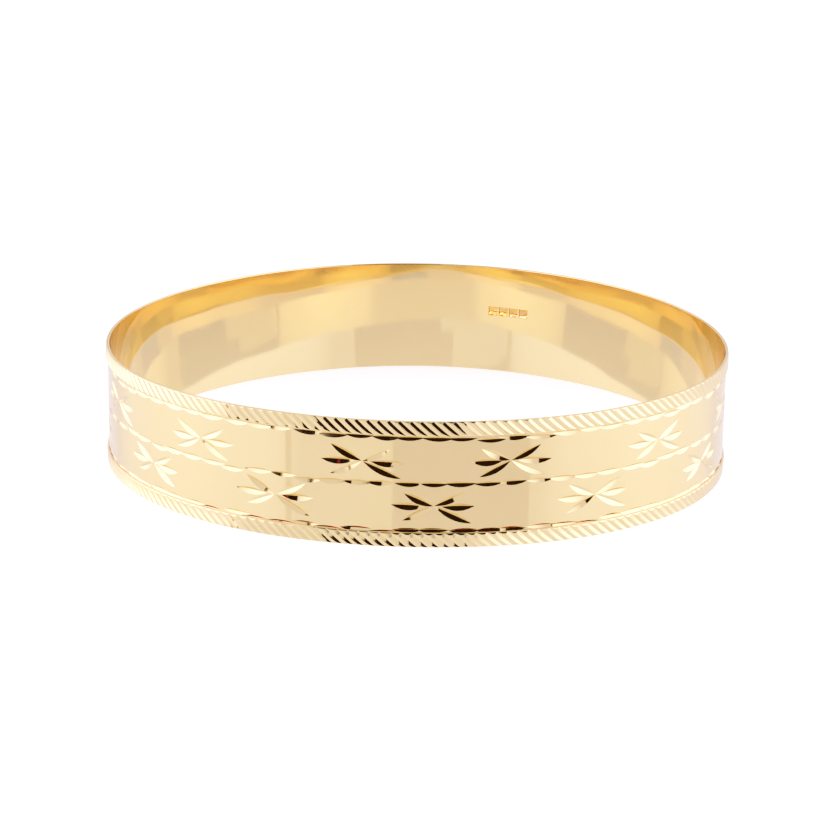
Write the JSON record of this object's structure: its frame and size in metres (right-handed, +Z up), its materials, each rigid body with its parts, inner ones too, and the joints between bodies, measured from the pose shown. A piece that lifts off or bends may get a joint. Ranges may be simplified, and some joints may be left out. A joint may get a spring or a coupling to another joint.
{
  "type": "bangle bracelet",
  "caption": "Closed round slip-on bangle: a thin polished gold strip soldered into a ring, with a narrow raised border strip round each edge of its outer face.",
  "frame": {"origin": "centre of the circle that the bangle stands on, when it lies flat on its lower rim", "axes": "+Z up along the ring's axis, through the wrist opening; +Y towards the back, where the soldered seams are"},
  "size_m": [0.0661, 0.066, 0.0127],
  "materials": {
    "polished_gold": "mirror polish",
    "cut_gold": "diamond cut and polished",
    "gold_solder": "polished flush"
  },
  "bodies": {
    "root": {"band_strip": "polished_gold", "band_seam_solder": "gold_solder", "upper_border_strip": "cut_gold", "upper_border_seam_solder": "gold_solder", "upper_border_film": "gold_solder", "lower_border_strip": "cut_gold", "lower_border_seam_solder": "gold_solder", "lower_border_film": "gold_solder"}
  },
  "joints": []
}
